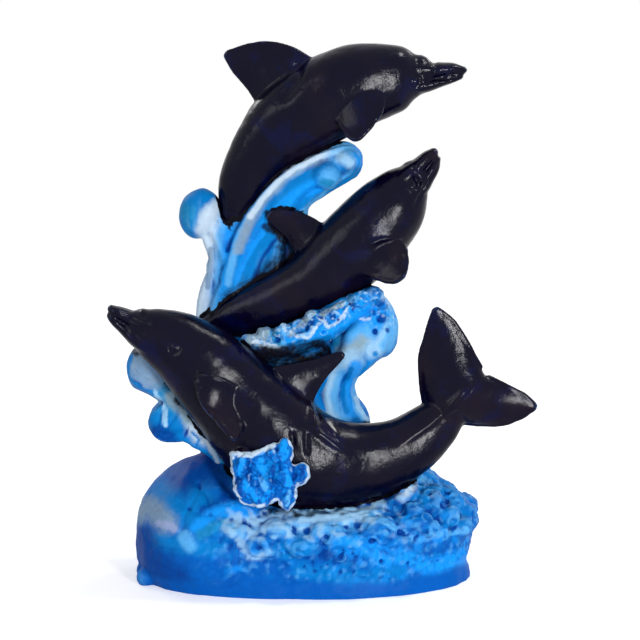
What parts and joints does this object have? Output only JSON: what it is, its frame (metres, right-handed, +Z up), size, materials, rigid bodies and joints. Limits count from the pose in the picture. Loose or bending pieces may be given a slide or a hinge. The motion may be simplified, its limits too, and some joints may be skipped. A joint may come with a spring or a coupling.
{
  "type": "dolphin figurine",
  "caption": "Cast figurine of dolphins leaping out of a breaking wave, one solid piece on an oval base with a flat underside.",
  "frame": {"origin": "middle of the base's flat underside", "axes": "+X to the right as seen from the front, +Y from the front to the back, +Z up"},
  "size_m": [0.1173, 0.0672, 0.1493],
  "materials": {
    "painted_resin": "hand-painted cast resin: glossy near-black dolphins, satin azure and white water"
  },
  "bodies": {
    "root": {"dolphin_figurine": "painted_resin"}
  },
  "joints": []
}
